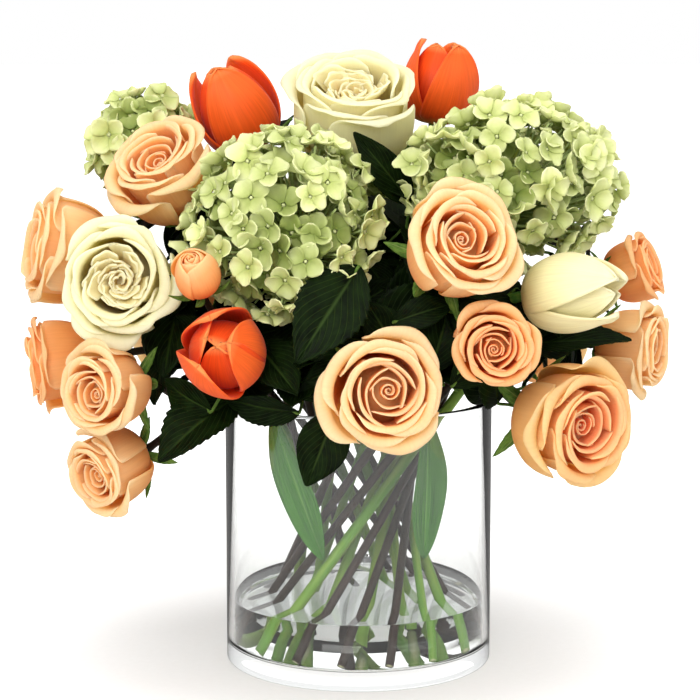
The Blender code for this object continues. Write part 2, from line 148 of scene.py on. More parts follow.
# ---------------------------------------------------------------- shader helpers
class Nodes:
    """A new material's or world's node tree, with short ways to add the nodes that these looks use."""

    def __init__(self, name, kind=bpy.data.materials):
        self.owner = kind.new(name)
        self.owner.use_nodes = True
        self.tree = self.owner.node_tree
        self.shader = self.tree.nodes.get("Principled BSDF")

    def link(self, source, target):
        self.tree.links.new(source, target)

    def put(self, socket, value):
        if isinstance(value, bpy.types.NodeSocket):
            self.link(value, socket)
        else:
            socket.default_value = value

    def node(self, kind, **settings):
        made = self.tree.nodes.new(kind)
        for key, value in settings.items():
            setattr(made, key, value)
        return made

    def math(self, operation, a, b=0.0, c=None, clamp=False):
        made = self.node("ShaderNodeMath", operation=operation, use_clamp=clamp)
        self.put(made.inputs[0], a)
        self.put(made.inputs[1], b)
        if c is not None:
            self.put(made.inputs[2], c)
        return made.outputs[0]

    def vector(self, x, y, z=0.0):
        made = self.node("ShaderNodeCombineXYZ")
        for socket, value in zip(made.inputs, (x, y, z)):
            self.put(socket, value)
        return made.outputs[0]

    def noise(self, vector, scale=1.0, detail=2.0, roughness=0.5):
        made = self.node("ShaderNodeTexNoise")
        self.put(made.inputs["Vector"], vector)
        made.inputs["Scale"].default_value = scale
        made.inputs["Detail"].default_value = detail
        made.inputs["Roughness"].default_value = roughness
        return made.outputs["Fac"]

    def stretched(self, across, over, along, down, seed, detail=3.0):
        """Noise with its own scale across and along a petal."""
        place = self.vector(self.math("MULTIPLY", across, over), self.math("MULTIPLY", along, down), seed)
        return self.noise(place, 1.0, detail)

    def ramp(self, factor, stops):
        made = self.node("ShaderNodeValToRGB")
        self.put(made.inputs[0], factor)
        elements = made.color_ramp.elements
        while len(elements) < len(stops):
            elements.new(0.5)
        for element, (at, colour) in zip(elements, stops):
            element.position = at
            element.color = (*colour, 1)
        return made.outputs["Color"]

    def mix(self, factor, a, b, blend="MIX"):
        made = self.node("ShaderNodeMix", data_type="RGBA", blend_type=blend)
        self.put(made.inputs["Factor"], factor)
        for socket, value in ((made.inputs[6], a), (made.inputs[7], b)):
            self.put(socket, (*value, 1) if isinstance(value, tuple) and len(value) == 3 else value)
        return made.outputs[2]

    def spread(self, value, low, high, start=0.0, end=1.0, kind="LINEAR"):
        """The value, taken from start..end to low..high."""
        made = self.node("ShaderNodeMapRange", interpolation_type=kind)
        sockets = {"Value": value, "From Min": start, "From Max": end, "To Min": low, "To Max": high}
        for socket, given in sockets.items():
            self.put(made.inputs[socket], given)
        return made.outputs[0]

    def mirrored(self, rays):
        """1 on a mirrored ray. A refracted ray counts as glossy too, so it is taken off."""
        glossy, refracted = rays.outputs["Is Glossy Ray"], rays.outputs["Is Transmission Ray"]
        return self.math("SUBTRACT", glossy, refracted, clamp=True)

    def blend(self, share, first, second, output="Material Output"):
        """Shows the second shader in place of the first, by that share."""
        mixed = self.node("ShaderNodeMixShader")
        self.put(mixed.inputs[0], share)
        self.link(first.outputs[0], mixed.inputs[1])
        self.link(second.outputs[0], mixed.inputs[2])
        self.link(mixed.outputs[0], self.tree.nodes[output].inputs["Surface"])
        return self.owner

    def bump(self, height, strength, distance, after=None):
        made = self.node("ShaderNodeBump")
        made.inputs["Strength"].default_value = strength
        made.inputs["Distance"].default_value = distance
        self.link(height, made.inputs["Height"])
        if after is not None:
            self.link(after, made.inputs["Normal"])
        return made.outputs["Normal"]

    def petal(self):
        """The petal coordinates: along 0..1, across 0..1, ring 0..1 and a random number."""
        made = self.node("ShaderNodeAttribute", attribute_name="petal")
        split = self.node("ShaderNodeSeparateColor")
        self.link(made.outputs["Color"], split.inputs[0])
        return (*split.outputs, made.outputs["Alpha"])

    def place(self):
        return self.node("ShaderNodeTexCoord").outputs["Object"]

    def translucent(self, colour, share, normal):
        """Mixes in a share of light that comes through from behind."""
        behind = self.node("ShaderNodeBsdfTranslucent")
        self.put(behind.inputs["Color"], colour)
        self.link(normal, behind.inputs["Normal"])
        return self.blend(share, self.shader, behind)

    def set(self, **values):
        for name, value in values.items():
            self.put(self.shader.inputs[name.replace("_", " ")], value)


def petal_material(
    name, inner, outer, rim, rim_at=0.86, roughness=0.5, streak=0.06, thin=0.40, gloss=0.3, ribbed=0.22,
):
    """Petal tissue: its colour runs from base to rim, inner rings have their own, and light comes through."""
    n = Nodes(name)
    along, across, ring, chance = n.petal()
    seed = n.math("MULTIPLY", chance, 37.0)
    blotch = n.stretched(across, 3.0, along, 2.5, seed)
    fibres = n.stretched(across, 46.0, along, 3.0, seed)
    run = n.math("MULTIPLY_ADD", blotch, 0.36, n.math("ADD", along, -0.18))
    colour = n.mix(ring, n.ramp(run, inner), n.ramp(run, outer))
    side = n.math("ABSOLUTE", n.math("MULTIPLY_ADD", across, 2.0, -1.0))
    edge = n.math("MAXIMUM", along, n.math("MULTIPLY", side, along))
    # Rims are paler toward the tip and the edges. On the scarlet tulip this rim colour is a painted highlight.
    colour = n.mix(n.ramp(edge, [(rim_at, (0, 0, 0)), (1.0, (1, 1, 1))]), colour, rim)
    darker = (1 - streak, 1 - streak * 1.25, 1 - streak * 1.5)
    fade = n.ramp(fibres, [(0.25, darker), (0.7, (1.0, 1.0, 1.0))])
    colour = n.mix(1.0, colour, fade, "MULTIPLY")
    fine = n.noise(n.place(), 2600.0, 2.0)
    normal = n.bump(fibres, ribbed, 0.0004, n.bump(fine, 0.08, 0.0002))
    n.shader.inputs["Specular IOR Level"].default_value = gloss
    n.shader.inputs["Sheen Weight"].default_value = 0.10
    n.shader.inputs["Sheen Roughness"].default_value = 0.4
    n.set(Base_Color=colour, Roughness=n.spread(fibres, roughness - 0.08, roughness + 0.1), Normal=normal)
    return n.translucent(colour, thin, normal)


def leaf_material(name, dark, light, rib, roughness=0.42, ribs=9.0, parallel=False):
    """A leaf: pale midrib and slanting side veins, mottled green between them, waxy."""
    n = Nodes(name)
    along, across, _, chance = n.petal()
    off = n.math("ABSOLUTE", n.math("MULTIPLY_ADD", across, 2.0, -1.0))
    seed = n.math("MULTIPLY", chance, 29.0)
    fine, long = (34.0, 1.6) if parallel else (5.0, 7.0)
    mottle = n.stretched(across, fine, along, long, seed, 4.0)
    line = across if parallel else n.math("MULTIPLY_ADD", off, -0.55, along)
    side = n.math("FRACT", n.math("MULTIPLY", line, ribs))
    side = n.math("ABSOLUTE", n.math("ADD", side, -0.5))
    vein = n.ramp(side, [(0.0, (1, 1, 1)), (0.10, (0, 0, 0))])
    middle = n.ramp(off, [(0.02, (1, 1, 1)), (0.09, (0, 0, 0))])
    lines = n.math("MAXIMUM", n.math("MULTIPLY", vein, 0.55), middle)
    colour = n.ramp(mottle, [(0.3, dark), (0.75, light)])
    colour = n.mix(n.math("MULTIPLY", lines, 0.55), colour, rib)
    pores = n.noise(n.place(), 1500.0, 3.0)
    normal = n.bump(lines, 0.5, 0.0006, n.bump(pores, 0.25, 0.0003))
    n.shader.inputs["Specular IOR Level"].default_value = 0.07
    n.set(Base_Color=colour, Roughness=n.spread(mottle, roughness - 0.08, roughness + 0.14), Normal=normal)
    return n.translucent(colour, 0.15, normal)


def stem_material(name, low, high, blush, roughness=0.45):
    """A stem: green wood with long fibres and a blush in patches; paler where it is cut."""
    n = Nodes(name)
    along, across, cut, chance = n.petal()
    seed = n.math("MULTIPLY", chance, 23.0)
    fibres = n.stretched(across, 30.0, along, 14.0, seed)
    patch = n.stretched(across, 1.5, along, 9.0, seed)
    colour = n.ramp(along, [(0.0, low), (0.8, high)])
    colour = n.mix(n.ramp(patch, [(0.42, (0, 0, 0)), (0.62, (1, 1, 1))]), colour, blush)
    colour = n.mix(1.0, colour, n.ramp(fibres, [(0.3, (0.72,) * 3), (0.7, (1.0,) * 3)]), "MULTIPLY")
    colour = n.mix(cut, colour, (0.62, 0.60, 0.34))
    n.shader.inputs["Specular IOR Level"].default_value = 0.15
    n.set(
        Base_Color=colour, Roughness=n.spread(fibres, roughness - 0.1, roughness + 0.15),
        Normal=n.bump(fibres, 0.4, 0.0005),
    )
    return n.owner


def clear_material(name, ior, tint, wave):
    """Glass or water: refracts, and lets light straight through for soft shadows."""
    n = Nodes(name)
    ripple = n.noise(n.place(), 14.0, 2.0)
    n.set(
        Base_Color=(*tint, 1), Roughness=0.0, IOR=ior, Transmission_Weight=1.0,
        Normal=n.bump(ripple, wave, 0.002),
    )
    ray = n.node("ShaderNodeLightPath")
    through = n.node("ShaderNodeBsdfTransparent")
    through.inputs["Color"].default_value = (0.97, 0.98, 0.98, 1)
    either = n.math("MAXIMUM", ray.outputs["Is Shadow Ray"], ray.outputs["Is Diffuse Ray"])
    return n.blend(either, n.shader, through)


# ---------------------------------------------------------------- mesh helpers
def turned_faces(rings, sides):
    """The quads between rings of points round an axis, and the fans to the two points that follow them."""
    at = np.arange(rings * sides).reshape(rings, sides)
    beside = np.roll(at, -1, axis=1)
    quads = np.stack([at[:-1], at[1:], beside[1:], beside[:-1]], -1).reshape(-1, 4)
    end = np.full(sides, rings * sides)
    fans = [np.stack([at[0], beside[0], end], -1), np.stack([beside[-1], at[-1], end + 1], -1)]
    return quads, np.concatenate(fans)


class Shells:
    """Closed sheets, tubes and beads gathered into one mesh, with petal coordinates on every corner."""

    def __init__(self):
        self.points, self.quads, self.triangles, self.tags = [], [], [], []
        self.quad_looks, self.triangle_looks = [], []
        self.count = 0

    def take(self, points, quads, triangles, tags, look):
        self.points.append(points)
        self.tags.append(tags)
        if len(quads):
            self.quads.append(quads + self.count)
            self.quad_looks.append(np.full(len(quads), look))
        if len(triangles):
            self.triangles.append(triangles + self.count)
            self.triangle_looks.append(np.full(len(triangles), look))
        self.count += len(points)

    def sheet(self, grid, thick, tags, look=0, edge=0.35):
        """A closed sheet round a grid of points: thick in the middle, thinner at its border."""
        a, b = grid.shape[:2]
        normal = np.cross(np.gradient(grid, axis=0), np.gradient(grid, axis=1))
        normal /= np.linalg.norm(normal, axis=2, keepdims=True) + 1e-12
        depth = np.full((a, b, 1), thick / 2)
        depth[0], depth[-1] = thick / 2 * edge, thick / 2 * edge
        depth[:, 0], depth[:, -1] = thick / 2 * edge, thick / 2 * edge
        offset = normal * depth
        points = np.concatenate([(grid + offset).reshape(-1, 3), (grid - offset).reshape(-1, 3)])
        at = np.arange(a * b).reshape(a, b)
        under = at + a * b

        def quads(p, q, r, s):
            return np.stack([p, q, r, s], -1).reshape(-1, 4)

        faces = [
            quads(at[:-1, :-1], at[1:, :-1], at[1:, 1:], at[:-1, 1:]),
            quads(under[:-1, 1:], under[1:, 1:], under[1:, :-1], under[:-1, :-1]),
            quads(at[1:, 0], at[:-1, 0], under[:-1, 0], under[1:, 0]),
            quads(at[:-1, -1], at[1:, -1], under[1:, -1], under[:-1, -1]),
            quads(at[0, :-1], at[0, 1:], under[0, 1:], under[0, :-1]),
            quads(at[-1, 1:], at[-1, :-1], under[-1, :-1], under[-1, 1:]),
        ]
        tags = np.broadcast_to(tags, (a, b, 4)).reshape(-1, 4)
        self.take(points, np.concatenate(faces), np.zeros((0, 3), int), np.concatenate([tags, tags]), look)

    def tube(self, path, radii, sides=10, look=0, chance=0.5, cut=False, bulge=None):
        """A closed tube along a path, its ends closed by a fan. bulge(along, turn) scales its radius."""
        path = np.asarray(path, float)
        count = len(path)
        radii = np.broadcast_to(radii, count)
        forward = np.gradient(path, axis=0)
        forward /= np.linalg.norm(forward, axis=1, keepdims=True)
        side = np.cross(forward[0], (0.3, 0.2, 1.0) if abs(forward[0][2]) < 0.9 else (1.0, 0.2, 0.0))
        rings = []
        turns = np.arange(sides) * 2 * np.pi / sides
        for n in range(count):
            side -= forward[n] * side.dot(forward[n])
            side /= np.linalg.norm(side)
            other = np.cross(forward[n], side)
            scale = 1.0 if bulge is None else bulge(n / (count - 1), turns)[:, None]
            circle = np.cos(turns)[:, None] * side + np.sin(turns)[:, None] * other
            rings.append(path[n] + radii[n] * scale * circle)
        points = np.concatenate([*rings, path[:1], path[-1:]])
        at = np.arange(count * sides).reshape(count, sides)
        beside = np.roll(at, -1, axis=1)
        quads = np.stack([at[:-1], beside[:-1], beside[1:], at[1:]], -1).reshape(-1, 4)
        low, high = count * sides, count * sides + 1
        fans = np.concatenate([
            np.stack([beside[0], at[0], np.full(sides, low)], -1),
            np.stack([at[-1], beside[-1], np.full(sides, high)], -1),
        ])
        tags = np.zeros((len(points), 4))
        tags[: count * sides, 0] = np.repeat(np.linspace(0, 1, count), sides)
        tags[: count * sides, 1] = np.tile(np.abs(np.linspace(-1, 1, sides)), count)
        tags[low] = (0, 0.5, 1.0 if cut else 0.0, 0)
        tags[high, 0] = 1
        tags[:, 3] = chance
        self.take(points, quads, fans, tags, look)

    def bead(self, centre, radius, squash=(1, 1, 1), rings=6, sides=8, look=0, tag=(0.5, 0.5, 0.5, 0.5)):
        """A closed round bead."""
        tilt = np.linspace(0, np.pi, rings + 1)[1:-1]
        turns = np.arange(sides) * 2 * np.pi / sides
        body = np.stack(
            [np.outer(np.sin(tilt), np.cos(turns)), np.outer(np.sin(tilt), np.sin(turns)),
             np.outer(np.cos(tilt), np.ones(sides))], -1,
        ).reshape(-1, 3)
        body = np.concatenate([body, [(0, 0, 1), (0, 0, -1)]]) * radius * np.asarray(squash)
        tags = np.tile(np.asarray(tag, float), (len(body), 1))
        self.take(body + np.asarray(centre), *turned_faces(rings - 1, sides), tags, look)

    def build(self, name, looks, matrix=None):
        points = np.concatenate(self.points)
        if matrix is not None:
            m = np.array(matrix)
            points = points @ m[:3, :3].T + m[:3, 3]
        quads = np.concatenate(self.quads) if self.quads else np.zeros((0, 4), int)
        triangles = np.concatenate(self.triangles) if self.triangles else np.zeros((0, 3), int)
        mesh = bpy.data.meshes.new(name)
        mesh.vertices.add(len(points))
        mesh.vertices.foreach_set("co", points.astype(np.float32).ravel())
        corners = np.concatenate([quads.ravel(), triangles.ravel()])
        mesh.loops.add(len(corners))
        mesh.loops.foreach_set("vertex_index", corners.astype(np.int32))
        starts = np.concatenate([np.arange(len(quads)) * 4, len(quads) * 4 + np.arange(len(triangles)) * 3])
        mesh.polygons.add(len(starts))
        mesh.polygons.foreach_set("loop_start", starts.astype(np.int32))
        of_look = np.concatenate([*self.quad_looks, *self.triangle_looks])
        mesh.polygons.foreach_set("material_index", of_look.astype(np.int32))
        mesh.update(calc_edges=True)
        tags = mesh.attributes.new("petal", "FLOAT_COLOR", "POINT")
        tags.data.foreach_set("color", np.concatenate(self.tags).astype(np.float32).ravel())
        mesh.shade_smooth()
        for look in looks:
            mesh.materials.append(look)
        obj = bpy.data.objects.new(name, mesh)
        bpy.context.scene.collection.objects.link(obj)
        return obj


def mounted(obj, slot, *nodes):
    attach(obj, "root")
    if nodes:
        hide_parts(*nodes)
    return obj


def bezier(points, t):
    a, b, c, d = (np.asarray(p, float) for p in points)
    t = np.asarray(t)[..., None]
    return a * (1 - t) ** 3 + b * 3 * t * (1 - t) ** 2 + c * 3 * t * t * (1 - t) + d * t ** 3


def tagged(along, across, ring, chance):
    shape = np.broadcast(along, across).shape
    return np.stack([np.broadcast_to(x, shape) for x in (along, across * 0.5 + 0.5, ring, chance)], -1)


def grid(a, b):
    """Across -1..1 down the first axis, along 0..1 down the second."""
    return np.meshgrid(np.linspace(-1, 1, a), np.linspace(0, 1, b), indexing="ij")


# ---------------------------------------------------------------- flower heads
def cup_petal(turn, half, rim, base, belly, roll, curl, rng, tuck, dip, wave, point=0.0, flat=0.0,
              shift=(0.0, 0.0), cells=(27, 24)):
    """A cupped petal round +Z, in shares of the flower's size.

    It leaves the base, swells to its belly, rises to its rim and rolls outward there. It reaches half radians
    either side of turn, one side tucked in and the other out. flat straightens it, and shift moves its middle.
    """
    u, v = grid(*cells)
    start = 0.74
    length = 1 - dip * np.abs(u) ** 3.2 + point * np.exp(-((u / 0.20) ** 2))
    s = v * length
    lift = (rim[0] + 0.004, rim[1] - belly[2])
    path = bezier([base, (base[0] + belly[0], base[1] + belly[1]), lift, rim], np.clip(s / start, 0, 1))
    r, z = path[..., 0], path[..., 1]
    over = np.clip((s - start) / (1 - start), 0, 1.3)
    angle = curl * (1 + 0.25 * np.abs(u)) * over ** 1.2
    r = r + roll * (1 - np.cos(angle))
    z = z + roll * np.sin(angle)
    phase = rng.uniform(0, 6.28, 3)
    ripple = wave * v ** 2 * np.sin(2.6 * u + phase[0]) + 0.5 * wave * v ** 4 * np.sin(6.9 * u + phase[1])
    z = z + wave * 0.9 * v ** 3 * np.sin(3.7 * u + phase[2])
    swing = np.clip(half * u * 0.85, -1.15, 1.15)
    r = (r + ripple) * (1 + tuck * u) * (1 + flat * (1 / np.cos(swing) - 1))
    theta = turn + half * u * (1 - 0.25 * (1 - v) ** 2)
    rise = v ** 0.7
    return u, v, np.stack([r * np.cos(theta) + shift[0] * rise, r * np.sin(theta) + shift[1] * rise, z], -1)


def add_petal(shells, size, thick, ring, *form, **shape):
    """A cupped petal's sheet. ring is 0 in the heart and 1 outside. form ends with the random generator."""
    u, v, points = cup_petal(*form, **shape)
    shells.sheet(points * size, thick, tagged(v, u, ring, form[-1].random()))


def calyx(shells, size, rng, look=1, spread=1.0, base=-0.40):
    """The green cup behind a rose and its five long sepals."""
    shells.bead((0, 0, (base + 0.045) * size), 0.095 * size, (1, 1, 0.95), look=look, rings=8, sides=12)
    u, v = grid(7, 14)
    for n in range(5):
        turn = n * 2 * math.pi / 5 + rng.uniform(-0.2, 0.2)
        droop = rng.uniform(0.0, 1.0) * spread
        path = bezier([(0.05, base + 0.03), (0.22, base + 0.01), (0.40, base + 0.14 - 0.16 * droop),
                       (0.50, base + 0.30 - 0.45 * droop)], v)
        frill = 1 + 0.10 * np.sin(40 * v) * (v > 0.3)
        width = 0.075 * np.sin(np.pi * (0.14 + 0.86 * v)) * (1 - 0.35 * v) * frill
        r, z = path[..., 0], path[..., 1] - 0.03 * u ** 2 * np.sin(np.pi * v)
        out, across = np.array([math.cos(turn), math.sin(turn)]), np.array([-math.sin(turn), math.cos(turn)])
        xy = r[..., None] * out + (width * u)[..., None] * across
        points = np.concatenate([xy, z[..., None]], -1)
        shells.sheet(points * size, 0.0008, tagged(v, u, 0.3, rng.random()), look)


def rose(shells, size, rng, openness=1.0):
    """A hybrid-tea rose: a small wound bud off its middle, a deep cup of petals, then rolled outer ones."""
    turn = rng.uniform(0, 6.28)
    way = rng.uniform(0, 6.28)
    away = np.array([math.cos(way), math.sin(way)]) * 0.034
    bud, cup, guard = 5, 8, 12
    heart = (0, 0, -0.10 * size)
    shells.bead(heart, 0.250 * size, (1.15, 1.15, 1), rings=12, sides=20, tag=(0.70, 0.5, 0.2, 0.5))
    for n in range(bud):
        turn += GOLDEN
        add_petal(
            shells, size, 0.0007, 0.0, turn, 2.50 - 0.16 * n, (0.016 + 0.0140 * n, 0.190 + 0.010 * n),
            (0.012 + 0.010 * n, 0.06), (0.006, 0.0, 0.06), 0.007, math.radians(45), rng,
            tuck=0.24, dip=0.14, wave=0.004, shift=away * 1.25, cells=(23, 12),
        )
    for n in range(cup):
        f = n / (cup - 1)
        turn += GOLDEN + rng.uniform(-0.15, 0.15)
        add_petal(
            shells, size, 0.0008, 0.12 + 0.30 * f, turn, 1.50 - 0.34 * f + rng.uniform(-0.08, 0.08),
            (0.098 + 0.156 * f, 0.228 + 0.080 * f), (0.06 + 0.08 * f, -0.02 - 0.06 * f),
            (0.03 + 0.09 * f, 0.0, 0.16), 0.012 + 0.014 * f, math.radians(80 + 20 * f), rng,
            tuck=0.16, dip=0.20, point=0.02, wave=0.007, flat=0.22, shift=away * (1 - 0.6 * f),
        )
    for n in range(guard):
        f = n / (guard - 1)
        turn += GOLDEN + rng.uniform(-0.16, 0.16)
        reach = 0.268 + (0.175 * openness) * f ** 1.05
        rim = (reach, 0.315 - (0.055 + 0.12 * f) * f * openness + rng.uniform(-0.014, 0.014))
        add_petal(
            shells, size, 0.0010, 0.55 + 0.45 * f, turn, 1.12 - 0.20 * f + rng.uniform(-0.06, 0.06), rim,
            (0.07, -0.37), (0.20 + 0.14 * f, 0.01, 0.30 - 0.06 * f), 0.030 + 0.026 * f * openness,
            math.radians(105 + 40 * f * openness) * rng.uniform(0.80, 1.12), rng,
            tuck=0.07, dip=0.26, point=0.05 + 0.03 * f, wave=0.009 + 0.010 * f, flat=0.05 + 0.05 * (1 - f),
            shift=away * 0.25 * (1 - f),
        )
    calyx(shells, size, rng)


def rose_bud(shells, size, rng):
    """A half-closed bud: a wound heart showing at the top of a few wrapped petals."""
    turn = 0.6
    count = 11
    for n in range(count):
        f = n / (count - 1)
        turn += GOLDEN
        u, v = grid(27, 24)
        half = 2.3 - 1.10 * f
        length = 1 - 0.16 * np.abs(u) ** 3 + 0.03 * np.exp(-((u / 0.2) ** 2))
        swell = 0.06 + 0.36 * f
        top = (0.030 + 0.150 * f, 0.49 - 0.035 * f)
        path = bezier([(0.05, -0.37), (swell * 1.20, -0.36), (swell * 1.15, 0.22), top], v * length)
        r = path[..., 0] * (1 + (0.18 - 0.10 * f) * u) + 0.030 * f * (v * length) ** 10
        z = path[..., 1] - 0.02 * f * (v * length) ** 14
        theta = turn + half * u * (1 - 0.25 * (1 - v) ** 2)
        points = np.stack([r * np.cos(theta), r * np.sin(theta), z], -1)
        shells.sheet(points * size, 0.0007, tagged(v, u, 0.1 + 0.9 * f, rng.random()))
    calyx(shells, size * 1.1, rng, spread=0.0, base=-0.385)


def garden_rose(shells, size, rng):
    """A quartered garden rose: a bowl of thick rolled petals round a flat heart of short crinkled ones."""
    turn = rng.uniform(0, 6.28)
    guard = 14
    for n in range(guard):
        f = n / (guard - 1)
        turn += GOLDEN + rng.uniform(-0.2, 0.2)
        rim = (0.262 + 0.150 * f, 0.205 - 0.11 * f ** 1.6 + rng.uniform(-0.018, 0.018))
        add_petal(
            shells, size, 0.0014, 0.45 + 0.55 * f, turn, 1.10 - 0.22 * f, rim, (0.06, -0.33),
            (0.24 + 0.14 * f, 0.0, 0.27), 0.034 + 0.022 * f, math.radians(85 + 50 * f) * rng.uniform(0.75, 1.15),
            rng, tuck=0.06, dip=0.30, point=0.03 + 0.10 * rng.random() * f, wave=0.014 + 0.008 * f,
            flat=0.10 * rng.random(),
        )
    heart = (0, 0, -0.12 * size)
    shells.bead(heart, 0.235 * size, (1, 1, 0.78), rings=12, sides=20, tag=(0.62, 0.5, 0.2, 0.5))
    way = rng.uniform(0, 6.28)
    away = np.array([math.cos(way), math.sin(way)]) * 0.030
    inside = 27
    for n in range(inside):
        f = n / (inside - 1)
        turn += GOLDEN + rng.uniform(-0.30, 0.30)
        reach = (0.040 + 0.200 * f ** 0.75) * rng.uniform(0.94, 1.06)
        add_petal(
            shells, size, 0.0012, 0.02 + 0.50 * f, turn, min(1.7, 0.115 / reach) * rng.uniform(0.85, 1.2),
            (reach, 0.128 + 0.070 * f + rng.uniform(-0.022, 0.022)), (reach * 0.25, -0.06),
            (reach * 0.10, 0.05, 0.0), 0.014 + 0.012 * f, math.radians(rng.uniform(15, 75)), rng,
            tuck=0.16, dip=0.30, point=0.03, wave=0.016, flat=-0.2, shift=away * (1 - f), cells=(21, 15),
        )
    calyx(shells, size * 0.85, rng, base=-0.42)


def tulip(shells, size, rng, opening, blunt, uneven, girth=1.0, turn=None, leans=(0,) * 6):
    """Six broad leathery petals, two rings of three, round dark stamens and a pale pistil.

    girth scales its width. leans says how far each petal's tip leans out from the middle, or in over it
    where negative, in shares of the size.
    """
    turn = rng.uniform(0, 6.28) if turn is None else turn
    for n in range(6):
        outer = n >= 3
        u, v = grid(29, 36)
        part = opening * rng.uniform(1 - uneven, 1 + uneven)
        tip_r = (0.13 + 0.34 * part if outer else 0.04 + 0.22 * part)
        tip_z = (0.50 - 0.08 * part if outer else 0.46 - 0.06 * part) + rng.uniform(-0.03, 0.03)
        full = 0.46 + 0.05 * part if outer else 0.40 + 0.05 * part
        path = bezier([(0.05, -0.455), (full * 1.06, -0.48), (full * 1.10, 0.14), (tip_r, tip_z)], v)
        r, z = path[..., 0], path[..., 1]
        broad = 0.43 * np.sin(np.pi * np.clip(0.05 + 0.95 * v, 0, 1) ** 0.82) ** blunt + 0.004
        half = np.minimum(broad / np.maximum(r, 0.12), 1.30)
        crease = 0.020 * np.exp(-((u / 0.09) ** 2)) * (1 - v) - 0.012 * np.exp(-((u / 0.14) ** 2)) * v
        flare = 0.045 * v ** 1.5 * np.abs(u) ** 4
        flare = flare + (0.012 + 0.02 * uneven) * np.sin(4 * v + n) * np.abs(u) ** 2
        tip_out = 0.05 * part * np.exp(-(((1 - v) / 0.12) ** 2))
        r = r - crease + flare + tip_out
        bearing = turn + n * 2 * math.pi / 3 + (math.pi / 3 if outer else 0) + uneven * rng.uniform(-0.35, 0.35)
        theta = bearing + half * u * (0.97 if outer else 0.9) + 0.10 * v * rng.uniform(-1, 1)
        lean = leans[n] * v ** 2
        r = r * girth
        x, y = r * np.cos(theta) + lean * math.cos(bearing), r * np.sin(theta) + lean * math.sin(bearing)
        tags = tagged(v, u, 1.0 if outer else 0.0, rng.random())
        shells.sheet(np.stack([x, y, z], -1) * size, 0.0013, tags, edge=0.55)
    pistil = [(0, 0, -0.42 * size), (0, 0, -0.18 * size), (0, 0, -0.08 * size)]
    shells.tube(pistil, [0.05 * size, 0.042 * size, 0.060 * size], sides=9, look=1)
    for n in range(6):
        way = n * math.pi / 3 + 0.3
        profile = ((0.03, -0.42), (0.09, -0.26), (0.11, -0.12), (0.11, -0.03))
        path = [(r * math.cos(way), r * math.sin(way), z) for r, z in profile]
        shells.tube(np.array(path) * size, np.array([0.012, 0.012, 0.024, 0.016]) * size, sides=7, look=2)


def floret(shells, centre, normal, spin, size, depth, rng):
    """Four rounded sepals round a bead, on a ball of florets."""
    side = np.cross(normal, (0.2, 0.3, 1.0) if abs(normal[2]) < 0.9 else (1.0, 0.1, 0.0))
    side /= np.linalg.norm(side)
    other = np.cross(normal, side)
    cup = rng.uniform(-0.30, 0.60)
    for n in range(4):
        u, v = grid(7, 7)
        long = size * rng.uniform(0.42, 0.52)
        x = 0.06 * size + long * v
        broad = long * 0.56 * np.sin(np.pi * (0.05 + 0.93 * v) ** 1.05) ** 0.62
        y = broad * u
        dished = 0.42 * (u * np.sin(np.pi * v)) ** 2
        lift = long * (cup * v ** 1.5 + dished + 0.45 * (v - 0.5) ** 2 + 0.03 * np.sin(9 * u + n))
        lift = lift + long * 0.05 * (n % 2)
        turn = spin + n * math.pi / 2 + rng.uniform(-0.10, 0.10)
        a = np.cos(turn) * side + np.sin(turn) * other
        b = -np.sin(turn) * side + np.cos(turn) * other
        points = centre + x[..., None] * a + y[..., None] * b + lift[..., None] * normal
        # depth here carries painted shade: at 0 the floret takes the darker colour of florets deep in the ball.
        shells.sheet(points, 0.00055, tagged(v, u, depth, rng.random()), edge=0.5)
    middle = centre + normal * size * 0.03
    shells.bead(middle, size * 0.055, rings=4, sides=6, look=1, tag=(0.5, 0.5, 0.5, rng.random()))


def hydrangea(shells, size, rng, wide):
    """A mophead: four-sepalled florets at three depths on branching stalks. The deeper florets take a darker colour
    as painted shade, and each also varies at random.
    """
    radius = size / 2 * 0.90
    axes = np.array([1.30, 0.86, 0.84] if wide else [1, 1, 0.84])
    count = round((190 if wide else 150) * (size / 0.108) ** 2)
    for n in range(count):
        z = 1 - (2 * n + 1) / count
        way = n * GOLDEN
        level = math.sqrt(max(0, 1 - z * z))
        ray = np.array([math.cos(way) * level, math.sin(way) * level, z]) + rng.normal(0, 0.05, 3)
        ray /= np.linalg.norm(ray)
        depth = rng.choice([1.03, 0.94, 0.80], p=[0.44, 0.32, 0.24]) + rng.uniform(-0.03, 0.04)
        centre = ray * radius * axes * depth
        normal = ray / axes + rng.normal(0, 0.38, 3)
        normal /= np.linalg.norm(normal)
        # Painted shade: the deeper a floret sits in the ball, the more of the darker colour it takes. A random share
        # darkens some more.
        painted_shade_and_tone = np.clip((depth - 0.76) / 0.26, 0, 1) * rng.uniform(0.55, 1.0)
        floret(shells, centre, normal, rng.uniform(0, 6.28), 0.0205 * rng.uniform(0.82, 1.10), painted_shade_and_tone, rng)
        hub = np.array([0, 0, -0.70 * radius * axes[2]])
        middle = hub + (centre - hub) * 0.55 + rng.normal(0, 0.0012, 3)
        stalk = [hub + rng.normal(0, 0.001, 3), middle, centre - normal * 0.0015]
        shells.tube(stalk, [0.0009, 0.0007, 0.0006], sides=5, look=1)


# ---------------------------------------------------------------- stems
def ring_slots(heads):
    """The bearing at which each head's stem crosses the rim: evenly spaced, in the order of the heads."""
    bearings = [math.atan2(head.centre.y, head.centre.x) for head in heads]
    step = 2 * math.pi / len(heads)
    order = sorted(range(len(heads)), key=lambda i: bearings[i])
    shift = sum(bearings[i] - step * n for n, i in enumerate(order)) / len(heads)
    return {heads[i].name: shift + step * n for n, i in enumerate(order)}


def around(radius, bearing, z):
    return Vector((radius * math.cos(bearing), radius * math.sin(bearing), z))


